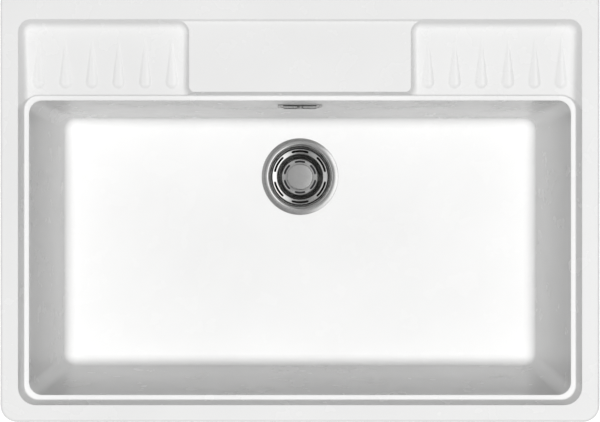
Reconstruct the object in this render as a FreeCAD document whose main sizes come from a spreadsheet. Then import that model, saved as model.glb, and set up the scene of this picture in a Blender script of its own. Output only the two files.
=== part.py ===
import FreeCAD, Part
import math
import os
import re
import Sketcher

# Kitchen sink: a glazed ceramic lay-on sink with a tap platform and two ribbed trays at the rear
# corners, its basket strainer waste and its overflow. Millimetres, +X right, +Y to the wall, +Z up.
# The origin is the tap's axis on top of the tap platform.

Vector = FreeCAD.Vector

# Driving sizes: name, value, what it measures.
DRIVING = [
    # the ceramic body, outside
    ("width", 795, "side to side"),
    ("depth", 560, "front to rear"),
    ("height", 220, "rim to foot"),
    ("front_corner", 22.5, "plan radius of the two front corners"),
    ("edge_round", 5, "rounding along the front and side rim edges"),
    # rim, tap platform and ledge
    ("side_rim", 24, "width of the rim at the sides"),
    ("front_rim", 23, "width of the rim at the front"),
    ("rear_rim", 26, "width of the rim at the rear"),
    ("tap_ledge", 122, "rear edge to the platform's front edge"),
    ("tap_setback", 74, "rear edge to the tap's axis"),
    ("platform_drop", 3, "rim down to the tap platform"),
    ("platform_draft", 40, "lean of the platform's rear edge, degrees"),
    ("platform_cove", 1.2, "hollow rounding at the platform's rear"),
    ("step_depth", 18, "rim down to the ledge"),
    ("step_draft", 14, "lean of the step's walls, degrees"),
    ("step_cove", 2, "hollow rounding between step and ledge"),
    ("ledge_width", 6.4, "ledge round the bowl"),
    ("ledge_corner", 19.5, "plan radius of the ledge's outer corners"),
    # bowl
    ("bowl_depth", 200, "rim down to the floor"),
    ("bowl_corner", 17.5, "radius of the bowl's upright corners"),
    ("side_lean", 17, "how far each side wall leans in"),
    ("rear_lean", 12, "how far the rear wall leans in"),
    ("front_lean", 20, "how far the front wall leans in"),
    ("floor_cove", 16.5, "hollow rounding between walls and floor"),
    # wall thicknesses and the underside
    ("bowl_wall", 12, "bowl wall"),
    ("floor_wall", 15, "bowl floor"),
    ("skirt_wall", 12, "outer skirt"),
    ("rim_wall", 14, "ceramic under the ledge"),
    ("rear_lip", 60, "height of the skirt at the rear"),
    ("skirt_corner", 10, "plan radius of the underside's corners"),
    # trays
    ("tray_width", 228, "rim to tap platform, across one tray"),
    ("tray_depth", 11.5, "rim down to the tray's floor at its rear"),
    ("tray_slope", 2, "fall of the tray's floor towards the bowl, degrees"),
    ("tray_draft", 30, "lean of the tray's walls, degrees"),
    ("tray_corner", 17, "plan radius of the tray's rear corners at the rim"),
    ("tray_cove", 10, "hollow rounding round the tray's floor"),
    ("platform_corner", 7.5, "plan radius of the platform's front corners"),
    ("rib_count", 6, "ribs in one tray"),
    ("rib_pitch", 35.5, "rib to rib"),
    ("rib_length", 72, "rib, tip to nose"),
    ("rib_tip_gap", 18.8, "rim to a rib's tip"),
    ("rib_nose", 14, "radius of a rib's nose"),
    ("rib_sink", 11, "how far the nose's centre lies below the tray's floor"),
    # tap seat
    ("tap_wall", 18, "ceramic at the tap"),
    ("tap_pocket", 240, "width of the thinner pocket under the platform"),
    ("tap_hole", 35, "diameter of the knock-out recess"),
    ("tap_skin", 6, "ceramic left over the knock-out recess"),
    # waste
    ("drain_setback", 229, "rear edge to the drain's axis"),
    ("strainer_sheet", 1, "sheet of the strainer cup"),
    ("flange", 114, "diameter of the strainer cup's flange"),
    ("shoulder", 94, "diameter where the flange turns down"),
    ("cup_mouth", 83, "diameter of the cup below its cone"),
    ("cup_cone", 11, "floor down to the foot of the cone"),
    ("cup_depth", 41, "floor down to the seat"),
    ("seat", 62, "inner diameter of the stopper's seat, and of the cup's middle below it"),
    ("dish_depth", 8, "seat down to the dished middle"),
    ("dish_hole", 11, "diameter of the outlet holes in the dished middle"),
    ("dish_hole_count", 6, "outlet holes in the dished middle"),
    ("seal_thick", 1.2, "rubber under the flange at its shoulder"),
    ("seal_edge", 111, "diameter of the rubber under the flange"),
    ("lower_seal_thick", 3, "rubber under the ceramic floor"),
    ("waste_flange", 112, "diameter of the waste body's flange"),
    ("waste_flange_thick", 4.5, "waste body's flange"),
    ("waste_bore", 88, "diameter inside the waste body"),
    ("waste_wall", 3, "wall of the waste body"),
    ("waste_depth", 42, "waste body's straight wall, below the lower seal"),
    ("outlet_thread", 47.8, "outside diameter of the outlet's thread"),
    ("outlet_wall", 3.5, "wall of the outlet"),
    ("outlet_length", 30, "length of the outlet"),
    ("hub", 21, "diameter of the waste body's hub"),
    ("hub_gap", 2, "cup's underside down to the hub"),
    ("hub_length", 18, "length of the hub"),
    ("spoke_count", 4, "webs that carry the hub"),
    ("spoke", 3, "thickness of a web"),
    ("clamp_thread", 8, "diameter of the clamp screw"),
    ("clamp_length", 20, "length of the clamp screw"),
    ("clamp_head", 14, "diameter of the clamp screw's head"),
    ("clamp_head_height", 4, "height of the clamp screw's head"),
    ("clamp_socket", 5, "clamp screw's hexagon socket, across its flats"),
    ("insert_size", 15, "insert nut across its corners"),
    ("insert_height", 8, "height of the insert nut"),
    ("screw_play", 0.2, "gap round a screw in its hole"),
    # strainer basket and its stopper
    ("basket_sheet", 0.8, "sheet of the basket"),
    ("basket_play", 0.35, "gap round the basket in the cup's cone"),
    ("basket_drop", 9.6, "floor down to the basket's edge"),
    ("basket_mouth", 68, "diameter where the basket turns down"),
    ("basket_floor", 53.6, "diameter of the basket's floor"),
    ("basket_depth", 16.4, "basket's edge down to its floor"),
    ("slot_count", 6, "slots in each ring"),
    ("rim_slot_ring", 76.2, "diameter of the ring of slots in the rim"),
    ("rim_slot", 2.8, "width of a slot in the rim"),
    ("floor_slot_ring", 46.8, "diameter of the ring of slots in the floor"),
    ("floor_slot", 3.1, "width of a slot in the floor"),
    ("slot_sweep", 39, "length of a slot, degrees"),
    ("slot_turn", 30, "place of the first slot, degrees"),
    ("knob", 38.6, "diameter of the knob"),
    ("knob_thick", 4, "height of the knob's edge"),
    ("knob_neck", 14, "diameter of the knob's neck"),
    ("knob_height", 15, "height of the knob over the basket's floor"),
    ("knob_thread", 5, "diameter of the knob's screw"),
    ("knob_thread_depth", 10, "depth of the knob's threaded hole"),
    ("knob_head", 9, "diameter of the knob screw's head"),
    ("knob_head_height", 3, "height of the knob screw's head"),
    ("stopper", 64, "diameter of the stopper plate"),
    ("stopper_thick", 2.3, "edge of the stopper plate"),
    ("stopper_spigot", 50, "diameter of the spigot that holds the stopper's rubber"),
    ("stopper_boss", 16, "diameter of the spacer boss"),
    ("stopper_rubber", 68, "diameter of the stopper's rubber"),
    ("stopper_rubber_thick", 2.5, "thickness of the stopper's rubber"),
    ("rest_gap", 0.2, "stopper's rubber over its seat"),
    # overflow
    ("overflow_drop", 68, "rim down to the overflow's middle"),
    ("cover_width", 61, "cover, side to side"),
    ("cover_height", 26, "cover, top to bottom"),
    ("cover_sheet", 0.8, "sheet of the cover"),
    ("cover_corner", 3, "radius of the cover's corners"),
    ("bridge_width", 45.6, "raised bridge of the cover"),
    ("bridge_rise", 2, "bridge's upper face over the bowl's wall"),
    ("bridge_swell", 2.6, "bridge's lower edge over the bowl's wall"),
    ("bridge_slope", 2, "fall of the bridge's top"),
    ("inlet_width", 3.8, "inlet slot beside the bridge"),
    ("inlet_height", 18, "height of an inlet slot"),
    ("inlet_top", 2, "cover's top down to an inlet slot"),
    ("wall_hole_width", 55, "hole in the bowl's rear wall"),
    ("wall_hole_height", 20, "hole in the bowl's rear wall"),
    ("wall_hole_corner", 6, "corners of that hole"),
    ("overflow_seal_thick", 2, "rubber behind the wall"),
    ("housing_flange", 6, "flange of the housing round its chamber"),
    ("housing_flange_thick", 3, "flange of the housing"),
    ("housing_wall", 2.5, "wall of the housing"),
    ("housing_corner", 8, "corners of the housing"),
    ("cover_thread", 5, "diameter of the cover's screw"),
    ("cover_screw_length", 26, "length of the cover's screw"),
    ("cover_head", 9, "diameter of the cover screw's head"),
    ("cover_head_height", 1, "height of the cover screw's head"),
    ("boss", 12, "diameter of the housing's screw boss"),
    ("boss_gap", 6, "wall's outer face to the boss"),
    ("overflow_insert", 7.4, "diameter of the brass insert"),
    ("overflow_insert_length", 10, "length of the brass insert"),
    # overflow hose and its unions
    ("inlet_drop", 40, "floor down to the waste body's overflow inlet"),
    ("inlet_reach", 16, "inlet's face outside the waste body's wall"),
    ("union_thread", 23, "outside diameter of the unions' threads"),
    ("union_bore", 15, "bore of the inlet and the spigot"),
    ("union_seal_thick", 2, "flat seal in a union"),
    ("nut_size", 31, "a union nut across its corners"),
    ("nut_clear", 1.5, "clear space between a union nut and its neighbours"),
    ("nut_skirt", 12, "how far a union nut reaches over its thread"),
    ("nut_lip", 2.8, "union nut's lip behind the hose's collar"),
    ("nut_play", 0.3, "gap round the thread and round the hose in a union nut"),
    ("hose_size", 20.4, "outside diameter of the hose's ribs"),
    ("hose_tube", 17, "outside diameter of the hose's smooth runs"),
    ("hose_bore", 13.6, "bore of the hose"),
    ("hose_collar_thick", 2, "collar at the hose's end"),
    ("rib_step", 6.4, "rib to rib round the hose's bend"),
    ("overcut", 4, "how far cutting tools reach past a surface"),
]

# Sizes that follow from the driving ones.
DERIVED = [
    ("rear_y", "tap_setback", "rear edge"),
    ("front_y", "tap_setback - depth", "front edge"),
    ("rim_z", "platform_drop", "top of the rim"),
    ("ledge_z", "rim_z - step_depth", "top of the ledge"),
    ("floor_z", "rim_z - bowl_depth", "top of the bowl's floor"),
    ("foot_z", "rim_z - height", "underside of the skirt"),
    ("slab_z", "ledge_z - rim_wall", "underside of the rim and the ledge"),
    ("step_run", "step_depth * tan(step_draft)", "width of the step's wall in plan"),
    ("rim_x", "width / 2 - side_rim", "inner edge of the side rim"),
    ("rim_front_y", "front_y + front_rim", "inner edge of the front rim"),
    ("rim_rear_y", "rear_y - rear_rim", "inner edge of the rear rim"),
    ("platform_run", "platform_drop * tan(step_draft)", "lean of the platform's edges in plan"),
    ("step_rear_y", "rear_y - tap_ledge + platform_run", "rear of the step, at rim height"),
    ("ledge_x", "rim_x - step_run", "outer edge of the ledge"),
    ("ledge_front_y", "rim_front_y + step_run", "outer edge of the ledge"),
    ("ledge_rear_y", "step_rear_y - step_run", "outer edge of the ledge"),
    ("bowl_x", "ledge_x - ledge_width", "bowl's edge"),
    ("bowl_front_y", "ledge_front_y + ledge_width", "bowl's edge"),
    ("bowl_rear_y", "ledge_rear_y - ledge_width", "bowl's edge"),
    ("fall", "bowl_depth - step_depth", "height of the bowl's walls"),
    ("tray_inner_x", "rim_x - tray_width + platform_run", "tray's inner edge at rim height"),
    ("tray_low", "tray_depth + tap_ledge * tan(tray_slope)", "tray tool's depth"),
    ("tray_run", "tray_low * tan(tray_draft)", "how far the tray tool narrows in plan"),
    ("tray_fall_run", "(tray_low - platform_drop) * tan(tray_draft)", "the same, from the platform down"),
    ("rib_first_x", "(rim_x + tray_inner_x - rib_pitch * (rib_count - 1)) / 2", "first rib of the tray"),
    ("drain_y", "rear_y - drain_setback", "drain's axis"),
    ("drain_hole", "shoulder + 2 * strainer_sheet", "diameter of the hole in the floor"),
    # heights below are measured from the bowl's floor
    ("flange_top", "seal_thick + strainer_sheet", "flange's top at its shoulder"),
    ("lower_seal_z", "-floor_wall - lower_seal_thick", "underside of the lower seal"),
    ("dish_z", "-cup_depth - dish_depth", "top of the cup's dished middle"),
    ("waste_foot_z", "lower_seal_z - waste_depth", "foot of the waste body's straight wall"),
    ("outlet_z", "waste_foot_z - outlet_length", "foot of the outlet"),
    ("waste_r", "waste_bore / 2 + waste_wall", "outside of the waste body"),
    ("hub_z", "dish_z - strainer_sheet - hub_gap", "top of the hub"),
    ("cone_slope", "(shoulder - cup_mouth) / (cup_cone + flange_top)", "cup's cone, growth in diameter"),
    ("basket_rim", "cup_mouth + cone_slope * (cup_cone - basket_drop - basket_sheet) - 2 * basket_play",
     "diameter of the basket"),
    ("basket_z", "-basket_drop - basket_depth", "top of the basket's floor"),
    ("rubber_z", "rest_gap - cup_depth", "underside of the stopper's rubber"),
    ("plate_z", "rubber_z + stopper_rubber_thick", "underside of the stopper plate"),
    # overflow, in a frame that leans with the bowl's rear wall
    ("wall_lean", "atan(rear_lean / fall) / 1deg", "lean of the rear wall, degrees"),
    ("wall_through", "bowl_wall * cos(wall_lean)", "rear wall, square through"),
    ("overflow_z", "rim_z - overflow_drop", "overflow's middle"),
    ("overflow_y", "bowl_rear_y - (ledge_z - overflow_z) * tan(wall_lean)", "overflow's middle on the wall"),
    ("housing_front", "wall_through + overflow_seal_thick", "front of the housing"),
    ("housing_half", "wall_hole_width / 2 + housing_wall", "half the chamber's width"),
    ("housing_low", "wall_hole_height / 2 + housing_wall", "half the chamber's height"),
    ("spigot_y", "wall_through + nut_size / 2 + nut_clear", "spigot's axis behind the wall's inner face"),
    ("housing_depth", "spigot_y - housing_front + (union_thread + housing_wall) / 2",
     "depth of the housing behind its seal"),
    ("spigot_length", "housing_flange + nut_skirt + nut_clear", "housing's spigot below its chamber"),
    ("spigot_end", "housing_low + spigot_length", "spigot's face below the overflow's middle"),
    ("spigot_world_y", "overflow_y + spigot_y * cos(wall_lean) - spigot_end * sin(wall_lean)",
     "spigot's face"),
    ("spigot_world_z", "overflow_z - spigot_y * sin(wall_lean) - spigot_end * cos(wall_lean)",
     "spigot's face"),
    ("inlet_y", "drain_y + waste_r + inlet_reach", "inlet's face"),
    ("inlet_z", "floor_z - inlet_drop", "inlet's axis"),
]


doc = FreeCAD.newDocument("KitchenSink")
sheet = doc.addObject("Spreadsheet::Sheet", "Sizes")


def fill_sheet():
    """Write every size in the sheet, each with its name as alias."""
    rows = [(name, str(number), note) for name, number, note in DRIVING]
    rows += [(name, "=" + formula, note) for name, formula, note in DERIVED]
    for row, (name, content, note) in enumerate(rows, 1):
        sheet.set(f"A{row}", name)
        sheet.set(f"B{row}", content)
        sheet.setAlias(f"B{row}", name)
        sheet.set(f"C{row}", note)
    doc.recompute()


fill_sheet()


def formula(text):
    """Turn sizes named in plain text into references to the sheet."""
    return re.sub(r"\b[a-z]\w*\b(?!\()", r"Sizes.\g<0>", str(text))


def value(text):
    """The number that a formula of sizes gives."""
    return float(sheet.evalExpression(formula(text)))


def bind(item, **properties):
    """Bind properties of an object to formulas of the sheet's sizes."""
    for name, text in properties.items():
        item.setExpression(name, formula(text))


def place(item, across=0, back=0, up=0):
    """Bind an object's place to formulas of the sheet's sizes."""
    for letter, text in (("x", across), ("y", back), ("z", up)):
        item.setExpression(f"Placement.Base.{letter}", formula(text))


def new_body(label):
    body = doc.addObject("PartDesign::Body", label)
    body.Label = label
    return body


def origin_item(body, role):
    return next(item for item in body.Origin.OriginFeatures if item.Role == role)


def new_sketch(body, plane, offset=0):
    """A sketch on one of the body's own origin planes, moved along that plane's normal."""
    sketch = body.newObject("Sketcher::SketchObject", body.Name + "_sketch")
    sketch.AttachmentSupport = [(origin_item(body, plane), "")]
    sketch.MapMode = "FlatFace"
    sketch.setExpression("AttachmentOffset.Base.z", formula(offset))
    return sketch


def constrain(sketch, kind, *where, size=None):
    """Add a constraint; a size is bound to a formula."""
    if size is None:
        return sketch.addConstraint(Sketcher.Constraint(kind, *where))
    index = sketch.addConstraint(Sketcher.Constraint(kind, *where, value(size)))
    sketch.setExpression(f"Constraints[{index}]", formula(size))
    return index


def pin_point(sketch, item, end, across, up):
    """Fix a point of the sketch at formulas for its two coordinates."""
    constrain(sketch, "DistanceX", item, end, size=across)
    constrain(sketch, "DistanceY", item, end, size=up)


def draw_outline(sketch, corners):
    """A closed outline of straight lines. Each corner is (across, up) or (across, up, radius)."""
    points = [Vector(value(corner[0]), value(corner[1]), 0) for corner in corners]
    count = len(points)
    entries, exits, arcs = [], [], []
    for index, corner in enumerate(corners):
        here, before, after = points[index], points[index - 1], points[(index + 1) % count]
        if len(corner) < 3:
            entries.append(here)
            exits.append(here)
            arcs.append(None)
            continue
        back = (before - here).normalize()
        ahead = (after - here).normalize()
        radius = value(corner[2])
        half = back.getAngle(ahead) / 2
        reach = radius / math.tan(half)
        centre = here + (back + ahead).normalize() * (radius / math.sin(half))
        entries.append(here + back * reach)
        exits.append(here + ahead * reach)
        arcs.append((centre, radius, (here - before).cross(after - here).z > 0))
    for index in range(count):
        sketch.addGeometry(Part.LineSegment(exits[index], entries[(index + 1) % count]))
    for index, corner in enumerate(corners):
        line_in, line_out = (index - 1) % count, index
        if arcs[index] is None:
            constrain(sketch, "Coincident", line_in, 2, line_out, 1)
            pin_point(sketch, line_out, 1, corner[0], corner[1])
            continue
        centre, radius, left_turn = arcs[index]
        first, last = (entries[index], exits[index]) if left_turn else (exits[index], entries[index])
        angles = [math.atan2(spot.y - centre.y, spot.x - centre.x) for spot in (first, last)]
        circle = Part.Circle(centre, Vector(0, 0, 1), radius)
        arc = sketch.addGeometry(Part.ArcOfCircle(circle, angles[0], angles[1]))
        tip = sketch.addGeometry(Part.Point(points[index]), True)
        constrain(sketch, "Tangent", line_in, 2, arc, 1 if left_turn else 2)
        constrain(sketch, "Tangent", arc, 2 if left_turn else 1, line_out, 1)
        constrain(sketch, "Radius", arc, size=corner[2])
        constrain(sketch, "PointOnObject", tip, 1, line_in)
        constrain(sketch, "PointOnObject", tip, 1, line_out)
        pin_point(sketch, tip, 1, corner[0], corner[1])


def draw_rectangle(sketch, left, right, front, rear, corner=None):
    radius = () if corner is None else (corner,)
    draw_outline(sketch, [
        (left, front) + radius,
        (right, front) + radius,
        (right, rear) + radius,
        (left, rear) + radius,
    ])


def draw_circle(sketch, across, up, radius):
    centre = Vector(value(across), value(up), 0)
    circle = sketch.addGeometry(Part.Circle(centre, Vector(0, 0, 1), value(radius)))
    pin_point(sketch, circle, 3, across, up)
    constrain(sketch, "Radius", circle, size=radius)


def pad(body, sketch, length, taper=0):
    feature = body.newObject("PartDesign::Pad", body.Name + "_pad")
    feature.Profile = sketch
    bind(feature, Length=length, TaperAngle=taper)
    return feature


def pocket(body, sketch, length, backwards=False):
    feature = body.newObject("PartDesign::Pocket", body.Name + "_pocket")
    feature.Profile = sketch
    feature.Reversed = backwards
    bind(feature, Length=length)
    return feature


def edges_where(shape, along=None, middle=None):
    """Names of the edges that pass a test at every sampled point, at their middle point, or both."""
    names = []
    for index, edge in enumerate(shape.Edges, 1):
        first, last = edge.ParameterRange
        samples = [edge.valueAt(first + (last - first) * share) for share in (0, 0.25, 0.5, 0.75, 1)]
        if along and not all(along(point) for point in samples):
            continue
        if middle and not middle(samples[2]):
            continue
        names.append(f"Edge{index}")
    return names


def fillet(body, radius, along=None, middle=None):
    """Round the edges of the body's present shape that pass the tests."""
    doc.recompute()
    base = body.Tip
    feature = body.newObject("PartDesign::Fillet", body.Name + "_fillet")
    feature.Base = (base, edges_where(base.Shape, along, middle))
    bind(feature, Radius=radius)
    return feature


def near(number, text, within=0.01):
    return abs(number - value(text)) < within


# ---------------------------------------------------------------- ceramic body

def ceramic_block():
    """Skirted block with the bowl's outside standing in its hollow underside."""
    body = new_body("ceramic_block")
    outline = new_sketch(body, "XY_Plane", "foot_z")
    draw_outline(outline, [
        ("-width / 2", "front_y", "front_corner"),
        ("width / 2", "front_y", "front_corner"),
        ("width / 2", "rear_y"),
        ("-width / 2", "rear_y"),
    ])
    pad(body, outline, "height")
    rear_edge = value("rear_y") - 0.01
    fillet(body, "edge_round", along=lambda point: near(point.z, "rim_z"),
           middle=lambda point: point.y < rear_edge)

    hollow = new_sketch(body, "XY_Plane", "foot_z")
    draw_rectangle(hollow, "-width / 2 + skirt_wall", "width / 2 - skirt_wall",
                   "front_y + skirt_wall", "rear_y - skirt_wall", "skirt_corner")
    pocket(body, hollow, "slab_z - foot_z", backwards=True)

    behind = new_sketch(body, "XY_Plane", "foot_z")
    draw_rectangle(behind, "-width / 2 + skirt_wall", "width / 2 - skirt_wall",
                   "rear_y - 2 * skirt_wall", "rear_y + skirt_wall")
    pocket(body, behind, "height - rear_lip", backwards=True)

    under_tap = new_sketch(body, "XY_Plane", "slab_z")
    draw_rectangle(under_tap, "-tap_pocket / 2", "tap_pocket / 2",
                   "ledge_rear_y + bowl_wall", "rear_y - skirt_wall", "skirt_corner")
    pocket(body, under_tap, "-tap_wall - slab_z", backwards=True)

    knock_out = new_sketch(body, "XY_Plane", "-tap_wall")
    draw_circle(knock_out, 0, 0, "tap_hole / 2")
    pocket(body, knock_out, "tap_wall - tap_skin", backwards=True)

    return body


def bowl_shape(label, wall, foot, lean_share):
    """The bowl's tapered form from a foot up to the ledge, larger than the bowl by a wall all round."""
    body = new_body(label)
    wedge = body.newObject("PartDesign::AdditiveWedge", label + "_wedge")
    wedge.AttachmentSupport = [(origin_item(body, "XZ_Plane"), "")]
    wedge.MapMode = "FlatFace"
    side, front, rear = f"bowl_x + {wall}", f"bowl_front_y - {wall}", f"bowl_rear_y + {wall}"
    low_side = f"{side} - side_lean * {lean_share}"
    bind(wedge, Ymin=foot, Ymax="ledge_z",
         X2min=f"-({side})", X2max=side, Z2min=f"-({rear})", Z2max=f"-({front})",
         Xmin=f"-({low_side})", Xmax=low_side,
         Zmin=f"-({rear} - rear_lean * {lean_share})", Zmax=f"-({front} + front_lean * {lean_share})")
    low, high = value(foot), value("ledge_z")
    fillet(body, f"bowl_corner + {wall}", middle=lambda point: low + 1 < point.z < high - 1)
    fillet(body, "floor_cove", along=lambda point: abs(point.z - low) < 0.01)
    return body


def step_tool():
    """What the rim's step leaves out, from the ledge up past the rim."""
    body = new_body("step_tool")
    outline = new_sketch(body, "XY_Plane", "ledge_z")
    draw_rectangle(outline, "-ledge_x", "ledge_x", "ledge_front_y", "ledge_rear_y", "ledge_corner")
    pad(body, outline, "step_depth + overcut", "step_draft")
    fillet(body, "step_cove", along=lambda point: near(point.z, "ledge_z"))
    return body


def platform_tool():
    """The shallow drop from the rim to the tap platform, between the trays."""
    body = new_body("platform_tool")
    outline = new_sketch(body, "XY_Plane", 0)
    reach = "tray_inner_x + tray_corner"
    rear_edge = "rim_rear_y - platform_drop * tan(platform_draft)"
    draw_rectangle(outline, f"-({reach})", reach, "ledge_rear_y", rear_edge)
    pad(body, outline, "platform_drop + overcut", "platform_draft")
    rear = value(rear_edge)
    fillet(body, "platform_cove", along=lambda point: abs(point.z) < 0.01 and abs(point.y - rear) < 0.01)
    return body


def tray_tool():
    """One tray's hollow with its ribs left out, modelled over the right-hand corner."""
    body = new_body("tray_tool")
    outline = new_sketch(body, "XY_Plane", "rim_z - tray_low")
    outer, rear = "rim_x - tray_run", "rim_rear_y - tray_run"
    inner, step = "tray_inner_x + platform_run + tray_fall_run", "step_rear_y - platform_run - tray_fall_run"
    front = "(ledge_rear_y - ledge_corner)"
    draw_outline(outline, [
        (inner, rear, "tray_corner - tray_run"),
        (inner, step, "platform_corner + tray_fall_run"),
        ("tray_inner_x - tray_corner", step),
        ("tray_inner_x - tray_corner", front),
        (outer, front),
        (outer, rear, "tray_corner - tray_run"),
    ])
    pad(body, outline, "tray_low + overcut", "tray_draft")

    below = new_sketch(body, "YZ_Plane")
    reach = f"(rim_rear_y - {front} + overcut)"
    draw_outline(below, [
        ("rim_rear_y + overcut", "rim_z - tray_depth + overcut * tan(tray_slope)"),
        (f"{front} - overcut", f"rim_z - tray_depth - {reach} * tan(tray_slope)"),
        (f"{front} - overcut", "rim_z - tray_low - overcut"),
        ("rim_rear_y + overcut", "rim_z - tray_low - overcut"),
    ])
    pocket(body, below, "rim_x", backwards=True)

    slope = math.tan(math.radians(value("tray_slope")))
    rear_y, rear_z, front_y = value("rim_rear_y"), value("rim_z - tray_depth"), value(front)
    fillet(body, "tray_cove",
           along=lambda point: abs(rear_z - (rear_y - point.y) * slope - point.z) < 0.01,
           middle=lambda point: point.y > front_y + 0.01)

    rib = new_sketch(body, "YZ_Plane", "rib_first_x")
    draw_teardrop(rib)
    groove = body.newObject("PartDesign::Groove", "rib_groove")
    groove.Profile = rib
    groove.ReferenceAxis = (rib, ["Axis0"])
    groove.Angle = 360
    ribs = body.newObject("PartDesign::LinearPattern", "ribs")
    ribs.Originals = [groove]
    ribs.Direction = (origin_item(body, "X_Axis"), [""])
    bind(ribs, Length="rib_pitch * (rib_count - 1)", Occurrences="rib_count")
    body.Tip = ribs
    return body


def draw_teardrop(sketch):
    """Half a rib: a cone from the tip, tangent to the round nose that sinks into the tray's floor."""
    tip = ("rim_rear_y - rib_tip_gap", "rim_z - tray_depth - rib_tip_gap * tan(tray_slope)")
    run = "(rib_length - sqrt(rib_nose ^ 2 - rib_sink ^ 2))"
    nose = (f"{tip[0]} - {run} * cos(tray_slope) + rib_sink * sin(tray_slope)",
            f"{tip[1]} - {run} * sin(tray_slope) - rib_sink * cos(tray_slope)")
    start = Vector(value(tip[0]), value(tip[1]), 0)
    centre = Vector(value(nose[0]), value(nose[1]), 0)
    radius = value("rib_nose")
    along = (centre - start).normalize()
    up = Vector(along.y, -along.x, 0)
    half = math.asin(radius / (centre - start).Length)
    touch = centre - along * radius * math.sin(half) + up * radius * math.cos(half)
    end = centre + along * radius
    side = sketch.addGeometry(Part.LineSegment(start, touch))
    circle = Part.Circle(centre, Vector(0, 0, 1), radius)
    angles = [math.atan2(spot.y - centre.y, spot.x - centre.x) for spot in (touch, end)]
    nose_arc = sketch.addGeometry(Part.ArcOfCircle(circle, angles[0], angles[1]))
    base = sketch.addGeometry(Part.LineSegment(end, start))
    axis = sketch.addGeometry(Part.LineSegment(start, centre), True)
    constrain(sketch, "Coincident", side, 1, base, 2)
    constrain(sketch, "Tangent", side, 2, nose_arc, 1)
    constrain(sketch, "Coincident", nose_arc, 2, base, 1)
    constrain(sketch, "Coincident", axis, 1, side, 1)
    constrain(sketch, "Coincident", axis, 2, nose_arc, 3)
    constrain(sketch, "PointOnObject", nose_arc, 3, base)
    constrain(sketch, "Radius", nose_arc, size="rib_nose")
    pin_point(sketch, side, 1, *tip)
    pin_point(sketch, nose_arc, 3, *nose)


def cylinder(label, radius, length, across=0, back=0, up=0):
    item = doc.addObject("Part::Cylinder", label)
    bind(item, Radius=radius, Height=length)
    place(item, across, back, up)
    return item


def sink_body():
    """The casting: the block less the step, bowl, platform, trays, drain hole and overflow hole."""
    right_tray = tray_tool()
    left_tray = doc.addObject("Part::Mirroring", "left_tray_tool")
    left_tray.Source = right_tray
    left_tray.Normal = (1, 0, 0)
    drain = cylinder("drain_tool", "drain_hole / 2", "floor_wall + 2 * overcut",
                     0, "drain_y", "floor_z - floor_wall - overcut")
    hollow = doc.addObject("Part::MultiFuse", "hollow")
    hollow.Shapes = [step_tool(), bowl_shape("bowl_tool", 0, "floor_z", 1), platform_tool(), right_tray,
                     left_tray, drain, overflow_hole_tool()]
    solid = doc.addObject("Part::Fuse", "solid")
    solid.Base = ceramic_block()
    solid.Tool = bowl_shape("bowl_outside", "bowl_wall", "floor_z - floor_wall", "(1 + floor_wall / fall)")
    cast = doc.addObject("Part::Cut", "cast")
    cast.Base = solid
    cast.Tool = hollow
    cast.Refine = True
    doc.recompute()
    body = new_body("sink_body")
    body.BaseFeature = cast
    return body


def overflow_hole_tool():
    """The hole through the bowl's rear wall, square to the leaning wall."""
    body = new_body("overflow_hole_tool")
    hole = new_sketch(body, "XZ_Plane", "overcut")
    draw_rectangle(hole, "-wall_hole_width / 2", "wall_hole_width / 2",
                   "-wall_hole_height / 2", "wall_hole_height / 2", "wall_hole_corner")
    tool = pad(body, hole, "wall_through + 2 * overcut")
    tool.Reversed = True
    lean_with_wall(body)
    return body


def lean_with_wall(item):
    """Place an object in the overflow's frame: +Y square through the rear wall, Z along it."""
    tilt(item, "-wall_lean", "overflow_y", "overflow_z")


def tilt(item, angle, back, up):
    """Place an object turned about X."""
    item.Placement = FreeCAD.Placement(Vector(), FreeCAD.Rotation(Vector(1, 0, 0), value(angle)))
    item.setExpression("Placement.Rotation.Angle", formula(angle))
    place(item, 0, back, up)


# ---------------------------------------------------------------- turned and pressed pieces

def revolve(body, plane, corners):
    """Turn a closed outline of (radius, height) corners round the body's Z axis."""
    sketch = new_sketch(body, plane)
    draw_outline(sketch, corners)
    feature = body.newObject("PartDesign::Revolution", body.Name + "_turn")
    feature.Profile = sketch
    feature.ReferenceAxis = (sketch, ["V_Axis"])
    feature.Angle = 360
    return feature


def turned(label, corners):
    """A turned piece on the drain's axis, its heights measured from the bowl's floor."""
    body = new_body(label)
    revolve(body, "XZ_Plane", corners)
    place(body, 0, "drain_y", "floor_z")
    return body


def pressed(path, sheet_size):
    """Close an open path of corners with its copy one sheet's thickness to the left of its direction."""
    thick = value(sheet_size)
    points = [Vector(value(corner[0]), value(corner[1]), 0) for corner in path]
    normals = []
    for start, end in zip(points, points[1:]):
        along = (end - start).normalize()
        normals.append(Vector(-along.y, along.x, 0))
    copy = []
    for index, corner in enumerate(path):
        before, after = normals[max(index - 1, 0)], normals[min(index, len(normals) - 1)]
        move = (before + after) / (1 + before.dot(after))
        far = (f"{corner[0]} + {move.x:.5f} * {sheet_size}", f"{corner[1]} + {move.y:.5f} * {sheet_size}")
        if len(corner) > 2:
            left_turn = before.cross(after).z > 0
            grow = "-" if left_turn else "+"
            if not left_turn or value(corner[2]) > thick * 1.2:
                far += (f"{corner[2]} {grow} {sheet_size}",)
        copy.append(far)
    return path + copy[::-1]


def prism(body, kind, sides, radius, foot, height):
    """An upright prism on the body's Z axis, its radius measured to the corners."""
    feature = body.newObject(kind, body.Name + "_prism")
    feature.Polygon = sides
    feature.AttachmentSupport = [(origin_item(body, "XY_Plane"), "")]
    feature.MapMode = "FlatFace"
    feature.setExpression("AttachmentOffset.Base.z", formula(foot))
    bind(feature, Circumradius=radius, Height=height)
    return feature


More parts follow.
